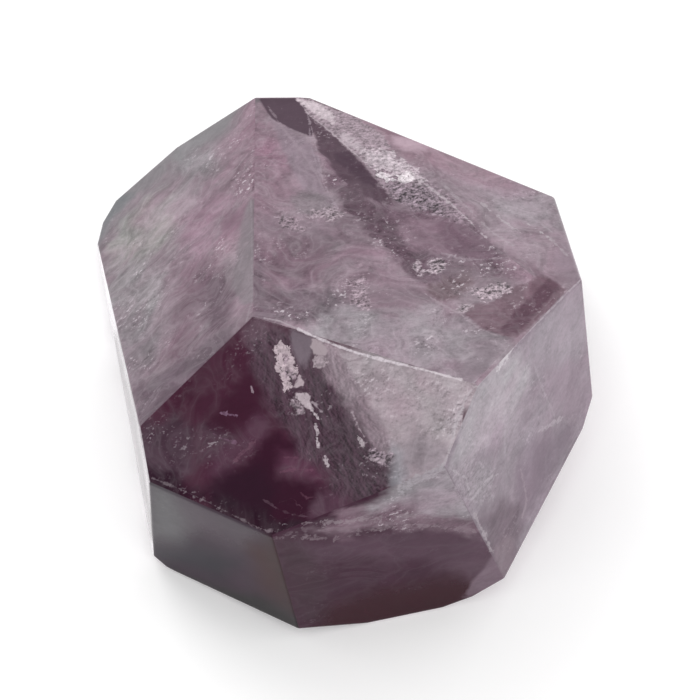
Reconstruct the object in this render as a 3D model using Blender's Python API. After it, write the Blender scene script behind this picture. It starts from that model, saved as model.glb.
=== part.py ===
"""A hand-polished fluorite stone: one solid crystal ground to flat facets with rounded edges.

The stone is an oversized block cut back by one plane for each facet, the way a lapidary grinds it.
Each corner of the cut block is then rounded over, and the stone is the tight skin around the
rounded corners, so its facets stay flat. It rests on its flat base, with its origin at the middle
of its footprint and +Z up.
"""

from math import cos, radians, sin

import bmesh
import bpy
from mathutils import Matrix, Vector

# The stone is cut in millimetres, and its finished mesh is scaled to metres.
METRES_PER_MM = 0.001
ROUGH_SIZE = 160.0
EDGE_RADIUS = 0.9
ARC_STEPS = 3

# The facets are measured from the grinding centre, straight above the base.
CENTRE = Vector((0, 0, 17.0))

# Each facet: azimuth and elevation of its outward normal in degrees, then its distance from the
# grinding centre in millimetres. Azimuth 0 faces -Y, the front, and 90 faces +X.
FACETS = {
    # The crown: four large faces that slope up to the high front corner.
    "crown_left": (-114, 48, 16.5),
    "crown_back": (-177, 69, 11.5),
    "crown_right_back": (170, 65, 13.0),
    "crown_front": (-54, 68, 23.0),
    # The walls, close to upright.
    "wall_right": (61, 13, 33.0),
    "wall_front": (13, 2, 40.5),
    "wall_front_left": (-30, -3, 41.5),
    "wall_left": (-79, 1, 31.5),
    "corner_left": (-119, 10, 39.5),
    "end_right": (99, 5, 31.0),
    "shoulder_back": (150, 21, 26.0),
    # The undercuts, which leave the base smaller than the stone.
    "undercut_back": (179, -18, 35.0),
    "undercut_back_left": (-160, -24, 41.0),
    "undercut_back_right": (135, -34, 34.0),
    "undercut_right": (96, -33, 31.0),
    "undercut_front_right": (70, -48, 31.0),
    "undercut_front": (36, -50, 38.0),
    "undercut_front_left": (-17, -63, 32.5),
    "undercut_left": (-79, -46, 33.0),
    "base": (0, -90, 17.0),
}

FLAT_WITHIN = radians(0.1)
SMOOTH_BELOW = radians(35)

FLUORITE_COLOUR = (0.20, 0.09, 0.13, 1.0)
FLUORITE_ROUGHNESS = 0.08


def outward_normal(azimuth, elevation):
    """Unit normal of a facet from its compass azimuth and its elevation, in degrees."""
    azimuth, elevation = radians(azimuth), radians(elevation)
    level = cos(elevation)
    return Vector((sin(azimuth) * level, -cos(azimuth) * level, sin(elevation)))


def grind(block, normal, distance):
    """Cut the block back to one plane and close the cut with a flat face."""
    cut = bmesh.ops.bisect_plane(
        block,
        geom=block.verts[:] + block.edges[:] + block.faces[:],
        plane_co=CENTRE + normal * distance,
        plane_no=normal,
        clear_outer=True,
    )
    rim = [item for item in cut["geom_cut"] if isinstance(item, bmesh.types.BMEdge)]
    bmesh.ops.contextual_create(block, geom=rim)


def cut_block():
    """The block ground to every facet, an edge radius deeper than the finished stone."""
    block = bmesh.new()
    bmesh.ops.create_cube(block, size=ROUGH_SIZE)
    for azimuth, elevation, distance in FACETS.values():
        grind(block, outward_normal(azimuth, elevation), distance - EDGE_RADIUS)
    bmesh.ops.recalc_face_normals(block, faces=block.faces)
    return block


def directions_around(corner):
    """Unit directions over the patch of a sphere between the normals of a corner's facets."""
    normals = [loop.face.normal.copy() for loop in corner.link_loops]
    middle = sum(normals, Vector()).normalized()
    directions = []
    for edge in corner.link_edges:
        first, second = (face.normal for face in edge.link_faces)
        for i in range(ARC_STEPS + 1):
            for j in range(ARC_STEPS + 1 - i):
                k = ARC_STEPS - i - j
                directions.append((first * i + second * j + middle * k).normalized())
    return directions


def rounded_stone(block):
    """The tight skin around a small ball at each corner of the block, with its facets flat."""
    stone = bmesh.new()
    for corner in block.verts:
        for direction in directions_around(corner):
            stone.verts.new(corner.co + direction * EDGE_RADIUS)
    hull = bmesh.ops.convex_hull(stone, input=stone.verts)
    inside = {item for item in hull["geom_interior"] + hull["geom_unused"]}
    loose = [item for item in inside if isinstance(item, bmesh.types.BMVert)]
    bmesh.ops.delete(stone, geom=loose, context="VERTS")
    bmesh.ops.dissolve_limit(
        stone, angle_limit=FLAT_WITHIN, verts=stone.verts, edges=stone.edges
    )
    return stone


def stand_on_base(stone):
    """Move the stone so that its footprint is centred on the origin and its base is at Z 0."""
    places = [vertex.co for vertex in stone.verts]
    middle_x = (min(p.x for p in places) + max(p.x for p in places)) / 2
    middle_y = (min(p.y for p in places) + max(p.y for p in places)) / 2
    lowest = min(p.z for p in places)
    bmesh.ops.translate(stone, verts=stone.verts, vec=(-middle_x, -middle_y, -lowest))


def fluorite_material():
    """Polished purple fluorite."""
    material = bpy.data.materials.new("fluorite")
    material.use_nodes = True
    shader = material.node_tree.nodes["Principled BSDF"]
    shader.inputs["Base Color"].default_value = FLUORITE_COLOUR
    shader.inputs["Roughness"].default_value = FLUORITE_ROUGHNESS
    shader.inputs["Metallic"].default_value = 0.0
    return material


def make_stone():
    """Add the finished stone to the scene, in metres."""
    block = cut_block()
    stone = rounded_stone(block)
    block.free()
    stand_on_base(stone)
    mesh = bpy.data.meshes.new("fluorite_stone")
    stone.to_mesh(mesh)
    stone.free()
    mesh.transform(Matrix.Scale(METRES_PER_MM, 4))
    mesh.materials.append(fluorite_material())
    mesh.shade_smooth()
    mesh.set_sharp_from_angle(angle=SMOOTH_BELOW)
    bpy.context.scene.collection.objects.link(bpy.data.objects.new("fluorite_stone", mesh))


for old in list(bpy.data.objects):
    bpy.data.objects.remove(old, do_unlink=True)
make_stone()
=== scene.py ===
"""Looks for the polished fluorite stone: a fine copy of its ground facets, with the crystal's colour
zones, veils and healed cracks, on a pale floor in soft light."""

from collections import namedtuple
from math import cos, radians, sin

import bmesh
import bpy
import numpy as np
from mathutils import Matrix, Vector, noise


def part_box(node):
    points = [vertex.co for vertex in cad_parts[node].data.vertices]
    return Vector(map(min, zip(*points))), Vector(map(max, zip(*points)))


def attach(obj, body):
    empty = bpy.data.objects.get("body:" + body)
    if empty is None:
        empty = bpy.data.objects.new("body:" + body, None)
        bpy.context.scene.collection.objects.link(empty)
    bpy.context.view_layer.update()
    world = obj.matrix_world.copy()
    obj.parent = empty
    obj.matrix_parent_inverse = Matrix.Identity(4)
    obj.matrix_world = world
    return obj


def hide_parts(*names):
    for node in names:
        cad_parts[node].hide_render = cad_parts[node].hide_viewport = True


MM = 0.001

# The stone in mm: the centre that its facets are measured from, the width of the rough block, the
# radius of the polished edges, and the width of the cells that the surface is sliced into.
GRINDING_CENTRE = Vector((0, 0, 17.0))
ROUGH_WIDTH = 160.0
EDGE_RADIUS = 0.9
CELL_WIDTH = 0.9
# The steps across a rounded corner, and the angle in degrees under which two faces are one facet.
ARC_STEPS = 8
FLAT_ANGLE = 0.05

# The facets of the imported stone, cut again here with finer rounded edges. Each has the azimuth of
# its outward normal, with 0 to the front and 90 to the right, and its elevation, both in degrees,
# and its distance from the grinding centre in mm.
FACETS = {
    "crown_left": (-114, 48, 16.5),
    "crown_back": (-177, 69, 11.5),
    "crown_right_back": (170, 65, 13.0),
    "crown_front": (-54, 68, 23.0),
    "wall_right": (61, 13, 33.0),
    "wall_front": (13, 2, 40.5),
    "wall_front_left": (-30, -3, 41.5),
    "wall_left": (-79, 1, 31.5),
    "corner_left": (-119, 10, 39.5),
    "end_right": (99, 5, 31.0),
    "shoulder_back": (150, 21, 26.0),
    "undercut_back": (179, -18, 35.0),
    "undercut_back_left": (-160, -24, 41.0),
    "undercut_back_right": (135, -34, 34.0),
    "undercut_right": (96, -33, 31.0),
    "undercut_front_right": (70, -48, 31.0),
    "undercut_front": (36, -50, 38.0),
    "undercut_front_left": (-17, -63, 32.5),
    "undercut_left": (-79, -46, 33.0),
    "base": (0, -90, 17.0),
}

# The camera: what it looks at on the stone, its elevation in degrees, its distance, lens and sensor,
# all in mm, and the pixel of the square image where what it looks at shows.
CAMERA_TARGET = Vector((1.0, 3.7, 0.5))
CAMERA_ELEVATION = 58.0
CAMERA_DISTANCE = 415.0
CAMERA_LENS = 150.0
SENSOR_WIDTH = 36.0
IMAGE_SIZE = 700
TARGET_PIXEL = (345, 362)

# The floor's width in metres, how pale it is and how strongly it glows.
FLOOR_WIDTH = 6.0
FLOOR_TONE = 0.9
FLOOR_GLOW = 0.15

# The bright room, and the lamps in it: each one's place and width in mm, and its power in watts.
ROOM_STRENGTH = 1.0
LAMPS = {"key": ((-250, 350, 550), 300, 1.0), "fill": ((450, -200, 350), 300, 0.35)}

# Fluorite: how it is polished, and how see-through it is where it is clear and where it is milky.
FLUORITE_IOR = 1.434
POLISH_ROUGHNESS = 0.12
SPECULAR_LEVEL = 0.06
CLEAR = 0.16
MILKY = 0.08
ABSORPTION_COLOUR = (0.72, 0.5, 0.62, 1)
ABSORPTION_DENSITY = 45.0

# The crystal's own colour in linear light at its darkest and lightest, how far clouds turn the hue
# towards red or green, and colours as seen, from 0 to 255.
DARKEST = 0.0015
LIGHTEST = 0.95
HUE_SHIFT = np.array((0.05, -0.12, -0.03))
PALE_FLECK = (206, 196, 203)
DEEP_PURPLE = (84, 56, 72)
PALE_VEIL = (166, 154, 163)

# What noise draws in the crystal, by the size of its largest shapes in mm. Ragged edges and strokes
# are stretched along the grain. Relief is noise less itself shifted, so that it looks side-lit.
CLOUD_SIZE = 11
HUE_CLOUD_SIZE = 6
CLUSTER_SIZE = 5
HIDDEN_DEEP_SIZE = 17
HIDDEN_PALE_SIZE = 12
HIDDEN_PLANE_SIZE = 14.0
RAGGED_SIZE = 3.5
RAGGED_STRETCH = 1.6
FINE_RAGGED_SIZE = 1.2
STREAK_SIZE = 3.0
THREAD_SIZE = 4.5
GRIT_SIZE = 0.9
GRIT_SHIFT = (-0.12, 0.15, 0.12)
STROKE_SIZE = 1.3
STROKE_STRETCH = 1.9
STROKE_SHIFT = (0.05, 0.22, 0)

# The noise at the vertices: how smooth it is, how much finer each octave is, and its scale.
CLOUD_SMOOTHNESS = 0.8
OCTAVE_RATIO = 2.0
CLOUD_SCALE = 0.8

# How strongly clouds show where it is clear, and how much more where it is milky. On the hidden
# facets, how much deep and pale veils cover, how much flat planes differ, and what scatters these.
CLEAR_CLOUDS = 0.1
MILKY_CLOUDS = 0.35
HIDDEN_DEEP_COVER = 0.75
HIDDEN_PALE_COVER = 0.7
HIDDEN_PLANE_CONTRAST = 0.35
PLANE_SCATTER = 9.7

# How strongly the rest shows: streaks, grit and bark make the crystal lighter and darker, flecks are
# bright and shade their sides, and threads are pale. Foils are grainy and split by dark cracks.
STREAK_STRENGTH = 1.25
GRIT_STRENGTH = 0.9
BARK_STRENGTH = 5.0
FROST_STRENGTH = 0.65
FLECK_SHADE = -0.45
THREAD_STRENGTH = 0.14
FINE_THREAD_STRENGTH = 0.05
FOIL_GRAIN = 6.0
FOIL_CRACK = -0.8
RAGGED_STRENGTH = 2.5
FINE_RAGGED_STRENGTH = 3.0

# The curls that marble the grain: their sizes in mm, how far they move it, as a share of those, and
# their seed, which sets where Blender's vector noise is taken from.
CURL_SIZES = (9.0, 3.6)
CURL = 0.6
CURL_SEED = 7

# Each facet's grain has its own part of the noise, this far in mm from the next one's.
FACET_SPACING = 50.0
# The least cosine, between a facet's normal and the view, that its grain is worked out for.
LEAST_FACING = 0.3
# How quickly one facet's look gives way to the next one's over an edge.
EDGE_SHARPNESS = 60


def outward_normal(azimuth, elevation):
    """Unit normal of a facet from its compass azimuth and its elevation, in degrees."""
    azimuth, elevation = radians(azimuth), radians(elevation)
    level = cos(elevation)
    return Vector((sin(azimuth) * level, -cos(azimuth) * level, sin(elevation)))


def cut_block():
    """The block ground to every facet, an edge radius deeper than the finished stone."""
    block = bmesh.new()
    bmesh.ops.create_cube(block, size=ROUGH_WIDTH)
    for azimuth, elevation, distance in FACETS.values():
        normal = outward_normal(azimuth, elevation)
        cut = bmesh.ops.bisect_plane(
            block,
            geom=block.verts[:] + block.edges[:] + block.faces[:],
            plane_co=GRINDING_CENTRE + normal * (distance - EDGE_RADIUS),
            plane_no=normal,
            clear_outer=True,
        )
        rim = [item for item in cut["geom_cut"] if isinstance(item, bmesh.types.BMEdge)]
        bmesh.ops.contextual_create(block, geom=rim)
    bmesh.ops.recalc_face_normals(block, faces=block.faces)
    return block


def directions_around(corner):
    """Unit directions over the patch of a sphere between the normals of a corner's facets."""
    middle = sum((face.normal for face in corner.link_faces), Vector()).normalized()
    directions = []
    for edge in corner.link_edges:
        first, second = (face.normal for face in edge.link_faces)
        for i in range(ARC_STEPS + 1):
            for j in range(ARC_STEPS + 1 - i):
                k = ARC_STEPS - i - j
                directions.append((first * i + second * j + middle * k).normalized())
    return directions


def rounded_stone(block):
    """The tight skin around a small ball at each corner of the block, with its facets flat."""
    stone = bmesh.new()
    for corner in block.verts:
        for direction in directions_around(corner):
            stone.verts.new(corner.co + direction * EDGE_RADIUS)
    hull = bmesh.ops.convex_hull(stone, input=stone.verts)
    inside = set(hull["geom_interior"] + hull["geom_unused"])
    loose = [item for item in inside if isinstance(item, bmesh.types.BMVert)]
    bmesh.ops.delete(stone, geom=loose, context="VERTS")
    bmesh.ops.dissolve_limit(
        stone, angle_limit=radians(FLAT_ANGLE), verts=stone.verts, edges=stone.edges
    )
    return stone


def slice_into_cells(stone):
    """Cut the surface along a grid of planes, so that it can carry the colour zones."""
    for axis in range(3):
        normal = Vector((0, 0, 0))
        normal[axis] = 1
        low = min(vertex.co[axis] for vertex in stone.verts)
        high = max(vertex.co[axis] for vertex in stone.verts)
        for place in np.arange(low + CELL_WIDTH / 2, high, CELL_WIDTH):
            bmesh.ops.bisect_plane(
                stone,
                geom=stone.verts[:] + stone.edges[:] + stone.faces[:],
                plane_co=normal * place,
                plane_no=normal,
            )


def fine_stone(node):
    """The finely rounded stone as an object in metres, standing where its CAD node stands."""
    block = cut_block()
    stone = rounded_stone(block)
    block.free()
    slice_into_cells(stone)
    mesh = bpy.data.meshes.new("fluorite_stone_fine")
    stone.to_mesh(mesh)
    stone.free()
    mesh.transform(Matrix.Scale(MM, 4))
    corners = [vertex.co for vertex in mesh.vertices]
    low, high = (Vector(corner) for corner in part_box(node))
    mesh_low = Vector([min(corner[axis] for corner in corners) for axis in range(3)])
    mesh_high = Vector([max(corner[axis] for corner in corners) for axis in range(3)])
    mesh.transform(Matrix.Translation((low + high - mesh_low - mesh_high) / 2))
    mesh.shade_smooth()
    piece = bpy.data.objects.new("fluorite_stone_fine", mesh)
    bpy.context.scene.collection.objects.link(piece)
    return piece


def add_camera():
    """The photograph's view: a long lens from in front and above."""
    camera = bpy.data.objects.new("camera", bpy.data.cameras.new("camera"))
    elevation = radians(CAMERA_ELEVATION)
    backwards = Vector((0, -cos(elevation), sin(elevation)))
    camera.location = (CAMERA_TARGET + backwards * CAMERA_DISTANCE) * MM
    camera.rotation_euler = (radians(90 - CAMERA_ELEVATION), 0, 0)
    camera.data.lens = CAMERA_LENS
    camera.data.sensor_width = SENSOR_WIDTH
    camera.data.shift_x = (IMAGE_SIZE / 2 - TARGET_PIXEL[0]) / IMAGE_SIZE
    camera.data.shift_y = (TARGET_PIXEL[1] - IMAGE_SIZE / 2) / IMAGE_SIZE
    camera.data.clip_start = 0.01
    bpy.context.scene.collection.objects.link(camera)
    bpy.context.scene.camera = camera


def add_floor():
    """A plain pale floor that glows a little, like a light table, so that shadows stay pale."""
    bpy.ops.mesh.primitive_plane_add(size=FLOOR_WIDTH, location=(0, 0, 0))
    floor = bpy.context.object
    floor.name = "floor"
    material = bpy.data.materials.new("pale_floor")
    material.use_nodes = True
    shader = material.node_tree.nodes["Principled BSDF"]
    shader.inputs["Base Color"].default_value = (FLOOR_TONE, FLOOR_TONE, FLOOR_TONE, 1)
    shader.inputs["Emission Color"].default_value = (1, 1, 1, 1)
    shader.inputs["Emission Strength"].default_value = FLOOR_GLOW
    shader.inputs["Roughness"].default_value = 0.9
    shader.inputs["Specular IOR Level"].default_value = 0.1
    floor.data.materials.append(material)


def add_light(name, place, size, power):
    """A soft square lamp that faces the stone. Its place and its size are in mm."""
    lamp = bpy.data.lights.new(name, "AREA")
    lamp.size = size * MM
    lamp.energy = power
    holder = bpy.data.objects.new(name, lamp)
    holder.location = Vector(place) * MM
    holder.rotation_euler = (-holder.location).to_track_quat("-Z", "Y").to_euler()
    bpy.context.scene.collection.objects.link(holder)


def add_lights():
    """Soft studio light: a bright room and two broad lamps."""
    world = bpy.data.worlds.new("studio")
    world.use_nodes = True
    background = world.node_tree.nodes["Background"]
    background.inputs["Color"].default_value = (1, 1, 1, 1)
    background.inputs["Strength"].default_value = ROOM_STRENGTH
    bpy.context.scene.world = world
    for name, (place, size, power) in LAMPS.items():
        add_light(name, place, size, power)
    bpy.context.scene.view_settings.view_transform = "Standard"


def linear(colour):
    """A colour given from 0 to 255, as the eye sees it, as linear red, green and blue."""
    values = [value / 255 for value in colour]
    return [v / 12.92 if v < 0.04 else ((v + 0.055) / 1.055) ** 2.4 for v in values]


# What shows on each facet where no zone is drawn: its colour as seen, from 0 to 255, how milky it
# is, the way its grain runs as seen, in degrees anticlockwise from the right, how strongly the
# studio lights it, and how much light its gloss adds.
Look = namedtuple("Look", "colour milk grain lit gloss")
LOOKS = {
    "crown_left": Look((138, 122, 131), 0.7, 50, 1.22, 0.03),
    "crown_back": Look((140, 120, 131), 0.8, -22, 1.25, 0.02),
    "crown_right_back": Look((155, 137, 147), 0.8, -36, 1.22, 0.02),
    "crown_front": Look((74, 47, 60), 0.15, -64, 1.17, 0.016),
    "wall_right": Look((152, 139, 149), 0.5, 65, 1.16, 0.035),
    "wall_front": Look((80, 62, 72), 0.15, 8, 1.12, 0.036),
    "wall_front_left": Look((86, 77, 84), 0.05, -12, 1.02, 0.070),
    # wall_left's near-white is mostly a painted reflection of the bright room, seen at a grazing angle.
    "wall_left": Look((244, 237, 242), 0.5, 90, 0.85, 0.17),
    "corner_left": Look((120, 118, 122), 0.4, 70, 1.0, 0.03),
    "end_right": Look((158, 144, 154), 0.5, 80, 1.0, 0.03),
    "shoulder_back": Look((150, 130, 142), 0.7, 20, 1.1, 0.02),
    "undercut_back": Look((126, 104, 118), 0.6, 10, 0.9, 0.02),
    "undercut_back_left": Look((136, 126, 133), 0.6, -30, 0.9, 0.02),
    "undercut_back_right": Look((118, 94, 109), 0.5, 30, 0.9, 0.02),
    "undercut_right": Look((144, 128, 138), 0.5, 70, 0.8, 0.02),
    "undercut_front_right": Look((120, 98, 111), 0.4, 50, 0.7, 0.02),
    "undercut_front": Look((92, 68, 81), 0.3, 20, 0.7, 0.02),
    "undercut_front_left": Look((80, 66, 75), 0.2, -10, 0.7, 0.02),
    "undercut_left": Look((150, 140, 148), 0.3, 60, 0.8, 0.02),
    "base": Look((92, 66, 80), 0.3, 0, 0.7, 0.02),
}

# The crystal's seen zones, each over the ones before it, with the crisp ones over the soft. A zone
# has the facets that it shows on, its colour as seen, how much it covers, how soft and how ragged
# its edge is, and its corners; the last three are in pixels of the photograph. Its texture can be
# milky, with pale clouds and clusters of flecks, sparkling, with light and dark grains, fibrous,
# with strokes like bark, or, on a foil, cracked.
Zone = namedtuple(
    "Zone",
    "facets colour cover soft ragged points milk sparkle fibre cracks",
    defaults=(0.3, 0.0, 0.0, 0.0),
)
CROWN_TOP = "crown_back crown_right_back"
ZONES = {
    # Upper left.
    "left_shadow": Zone("crown_left corner_left", (132, 130, 133), 0.85, 10, 12, milk=0.2, points=[
        (90, 255), (110, 228), (136, 200), (185, 166), (238, 132), (240, 90), (150, 140), (90, 205)]),
    "left_corner": Zone("crown_left corner_left", (114, 118, 122), 0.7, 8, 8, milk=0.1, points=[
        (96, 250), (106, 226), (132, 196), (116, 190), (90, 220)]),
    "left_silver": Zone("crown_left", (154, 151, 149), 0.8, 12, 22, milk=1.0, points=[
        (108, 262), (122, 228), (148, 206), (172, 198), (184, 215), (172, 246), (142, 262), (118, 272)]),
    "left_veil": Zone("crown_left", (160, 152, 157), 0.8, 10, 22, milk=1.0, sparkle=0.15, points=[
        (106, 266), (142, 262), (168, 252), (160, 300), (136, 324), (116, 318)]),
    "left_haze": Zone("crown_left", (154, 146, 152), 0.7, 10, 20, milk=0.9, points=[
        (186, 164), (214, 144), (222, 160), (206, 182), (190, 186)]),
    "left_top": Zone("crown_left crown_back", (138, 113, 126), 0.8, 9, 16, milk=0.8, sparkle=0.2, points=[
        (218, 140), (254, 106), (262, 130), (264, 190), (256, 214), (238, 206), (222, 190), (214, 164)]),
    "left_pink": Zone("crown_left", (151, 124, 139), 0.85, 13, 22, milk=0.6, points=[
        (186, 196), (214, 178), (236, 200), (224, 240), (208, 262), (186, 262), (176, 232)]),
    "left_spot": Zone("crown_left", (130, 103, 118), 0.8, 5, 10, milk=0.3, points=[
        (222, 214), (240, 208), (242, 228), (228, 236), (220, 228)]),
    "left_flush": Zone("crown_left", (154, 130, 142), 0.8, 6, 14, milk=0.9, sparkle=0.35, points=[
        (210, 252), (226, 238), (244, 230), (246, 246), (230, 258), (216, 264)]),
    "left_mid": Zone("crown_left", (122, 98, 111), 0.8, 10, 18, milk=0.6, points=[
        (176, 262), (214, 262), (226, 290), (204, 310), (176, 306)]),
    "left_mauve": Zone("crown_left", (104, 86, 97), 0.85, 10, 16, milk=0.5, sparkle=0.2, points=[
        (204, 282), (224, 284), (236, 306), (234, 326), (222, 340), (206, 336), (198, 308)]),
    "left_pink_low": Zone("crown_left", (110, 90, 101), 0.8, 12, 20, milk=0.6, points=[
        (172, 304), (200, 308), (206, 338), (190, 372), (166, 398), (158, 370)]),
    "left_low": Zone("crown_left", (128, 118, 125), 0.8, 12, 22, milk=0.9, sparkle=0.1, points=[
        (114, 320), (146, 312), (164, 340), (156, 376), (140, 392), (126, 380)]),
    "left_foot": Zone("crown_left", (102, 87, 97), 0.85, 9, 12, milk=0.5, points=[
        (128, 388), (152, 378), (176, 360), (206, 338), (236, 320), (240, 346), (150, 430), (138, 424)]),
    "left_lens": Zone("crown_left", (132, 123, 129), 0.75, 3.5, 4, milk=0.3, points=[
        (249, 196), (256, 200), (256, 300), (244, 306), (232, 288), (236, 262), (241, 225)]),
    # Top.
    "top_left": Zone("crown_back crown_left", (138, 113, 126), 0.8, 10, 16, milk=0.8, sparkle=0.3, points=[
        (250, 104), (266, 112), (284, 150), (300, 190), (290, 216), (256, 214)]),
    "top_soft": Zone("crown_back", (140, 122, 133), 0.7, 12, 14, milk=0.6, points=[
        (256, 214), (300, 216), (352, 224), (366, 250), (300, 240), (258, 236)]),
    "top_mid_dark": Zone("crown_back", (124, 102, 114), 0.8, 12, 20, milk=0.7, points=[
        (250, 240), (290, 236), (326, 250), (336, 268), (318, 284), (290, 284), (252, 296)]),
    "top_edge_dark": Zone("crown_back", (112, 96, 106), 0.8, 5, 10, milk=0.6, sparkle=0.2, points=[
        (250, 240), (262, 244), (270, 262), (264, 296), (272, 318), (256, 320), (250, 300)]),
    "top_low_left": Zone("crown_back", (108, 94, 103), 0.85, 8, 18, milk=0.8, sparkle=0.3, points=[
        (248, 296), (306, 286), (346, 294), (352, 310), (322, 320), (290, 322), (250, 320)]),
    "top_mid": Zone("crown_back", (132, 112, 123), 0.7, 12, 16, milk=0.6, points=[
        (340, 232), (366, 240), (398, 270), (436, 300), (404, 312), (366, 304), (348, 270)]),
    "top_band": Zone(CROWN_TOP, (116, 96, 108), 0.85, 6, 16, milk=0.6, sparkle=0.35, fibre=0.3, points=[
        (322, 150), (350, 168), (392, 196), (440, 208), (478, 226), (506, 256), (500, 280),
        (470, 285), (436, 288), (410, 270), (380, 240), (352, 212), (332, 186)]),
    "top_veil": Zone("crown_back", (146, 130, 141), 0.85, 3.5, 6, milk=0.4, points=[
        (268, 114), (284, 124), (294, 132), (306, 136), (318, 160), (323, 182), (331, 198),
        (341, 213), (322, 212), (304, 190), (290, 166), (278, 138)]),
    "top_veil_grey": Zone("crown_back", (132, 120, 127), 0.85, 4, 8, milk=0.8, sparkle=0.45, points=[
        (294, 196), (312, 190), (326, 196), (334, 210), (306, 214), (296, 208)]),
    "top_rim_left": Zone("crown_back", (112, 106, 112), 0.8, 3, 3, milk=0.1, points=[
        (246, 90), (292, 84), (286, 98), (266, 102), (254, 104)]),
    "top_shadow": Zone("crown_back", (88, 72, 83), 0.95, 1.2, 2.5, milk=0.0, points=[
        (258, 98), (285, 88), (300, 98), (308, 108), (316, 122), (314, 138), (306, 136), (298, 131),
        (288, 127), (276, 122), (266, 112)]),
    "top_ridge_shadow": Zone("crown_back", (93, 75, 86), 0.95, 2, 6, milk=0.2, sparkle=0.15, points=[
        (305, 104), (325, 125), (341, 141), (352, 152), (364, 166), (376, 180), (388, 194), (384, 204),
        (368, 198), (350, 188), (334, 172), (322, 154), (312, 134)]),
    "top_ridge_dark": Zone("crown_back", (80, 63, 75), 0.8, 3, 4, milk=0.1, sparkle=0.15, points=[
        (336, 150), (350, 152), (366, 168), (380, 188), (366, 184), (348, 170), (334, 162)]),
    "top_streak": Zone("crown_back", (98, 79, 90), 0.8, 4, 12, milk=0.4, sparkle=0.5, fibre=0.3, points=[
        (334, 178), (362, 192), (390, 218), (404, 236), (412, 254), (428, 280), (418, 282), (400, 262),
        (376, 238), (350, 214), (338, 196)]),
    "top_lens": Zone(CROWN_TOP, (141, 118, 131), 0.8, 4, 8, milk=0.4, sparkle=0.1, points=[
        (396, 226), (412, 216), (440, 220), (452, 226), (456, 256), (436, 254), (414, 252), (402, 240)]),
    "top_lens_dark": Zone(CROWN_TOP, (121, 99, 112), 0.8, 4, 8, milk=0.3, sparkle=0.1, points=[
        (438, 223), (466, 221), (475, 232), (488, 243), (503, 255), (492, 258), (474, 258), (454, 257),
        (446, 244)]),
    "top_bronze": Zone("crown_back", (120, 102, 108), 0.8, 4, 10, milk=0.6, sparkle=0.35, points=[
        (424, 290), (444, 276), (470, 272), (476, 284), (460, 300), (442, 303)]),
    "top_crinkle": Zone(CROWN_TOP, (125, 107, 117), 0.75, 5, 12, milk=0.8, sparkle=0.5, points=[
        (440, 258), (480, 258), (516, 262), (520, 280), (480, 286), (450, 276)]),
    "top_pale": Zone("crown_back", (155, 143, 151), 0.9, 5, 12, milk=0.9, sparkle=0.1, points=[
        (300, 330), (318, 322), (340, 312), (366, 306), (400, 310), (430, 306), (446, 308), (463, 315),
        (478, 327), (497, 335), (506, 345), (482, 390), (440, 382), (360, 356), (306, 338)]),
    "top_burgundy": Zone(CROWN_TOP, (125, 103, 113), 0.95, 1.5, 5, milk=0.5, sparkle=0.14, points=[
        (461, 313), (476, 304), (492, 304), (506, 290), (524, 283), (544, 275), (560, 286), (568, 291),
        (517, 338), (497, 333), (478, 327)]),
    "top_burgundy_dark": Zone(CROWN_TOP, (100, 76, 88), 0.85, 2.5, 5, milk=0.4, sparkle=0.12, points=[
        (500, 332), (514, 312), (528, 300), (540, 284), (550, 278), (562, 288), (540, 310), (516, 335)]),
    "top_burgundy_veil": Zone(CROWN_TOP, (126, 100, 112), 0.7, 2, 4, milk=0.5, points=[
        (522, 296), (532, 276), (548, 278), (536, 292), (526, 302)]),
    "top_quad": Zone("crown_back", (142, 130, 138), 0.8, 3, 4, milk=0.4, points=[
        (456, 378), (474, 384), (482, 374), (500, 350), (488, 342), (466, 360)]),
    # Upper right.
    "right_pink": Zone("crown_right_back", (154, 128, 140), 0.8, 8, 12, milk=0.5, points=[
        (330, 104), (400, 124), (480, 158), (520, 178), (510, 190), (470, 178), (430, 164), (380, 146)]),
    "right_soft": Zone("crown_right_back", (162, 145, 155), 0.7, 10, 14, milk=0.6, points=[
        (416, 172), (470, 184), (510, 200), (540, 262), (510, 250), (470, 214), (436, 190)]),
    "right_grey": Zone("crown_right_back", (154, 144, 151), 0.85, 12, 16, milk=0.8, sparkle=0.05, points=[
        (486, 194), (530, 190), (560, 204), (566, 230), (548, 232), (520, 222), (496, 214)]),
    "right_rim": Zone("crown_right_back", (152, 137, 147), 0.8, 8, 6, milk=0.3, points=[
        (560, 232), (590, 240), (590, 285), (570, 282), (552, 264), (556, 246)]),
    "right_bright": Zone("crown_right_back", (188, 164, 176), 0.85, 4, 5, milk=0.2, points=[
        (392, 136), (412, 140), (428, 146), (424, 152), (404, 150), (394, 144)]),
    # Front.
    "front_strip": Zone("crown_front", (75, 46, 60), 0.9, 5, 6, milk=0.2, points=[
        (140, 428), (200, 356), (242, 336), (250, 346), (238, 384), (198, 426), (176, 446)]),
    "front_veil": Zone("crown_front", (104, 86, 96), 0.8, 5, 6, milk=0.3, fibre=0.2, points=[
        (240, 334), (256, 316), (286, 328), (290, 344), (270, 350), (250, 344)]),
    "front_left": Zone("crown_front", (75, 59, 69), 0.9, 8, 12, milk=0.3, sparkle=0.06, points=[
        (140, 432), (176, 418), (190, 428), (194, 450), (186, 476), (176, 486), (140, 476)]),
    "front_dark_high": Zone("crown_front", (67, 40, 53), 0.9, 5, 6, milk=0.0, points=[
        (240, 382), (252, 366), (262, 386), (270, 410), (256, 424), (232, 436), (214, 440), (200, 428)]),
    "front_speckled": Zone("crown_front", (76, 55, 67), 0.8, 6, 12, milk=0.4, sparkle=0.12, points=[
        (200, 426), (222, 424), (240, 436), (236, 452), (216, 466), (200, 462)]),
    "front_band": Zone("crown_front", (84, 57, 72), 0.85, 5, 10, milk=0.2, points=[
        (262, 414), (272, 426), (250, 460), (222, 480), (206, 476), (214, 456), (240, 436)]),
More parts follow.
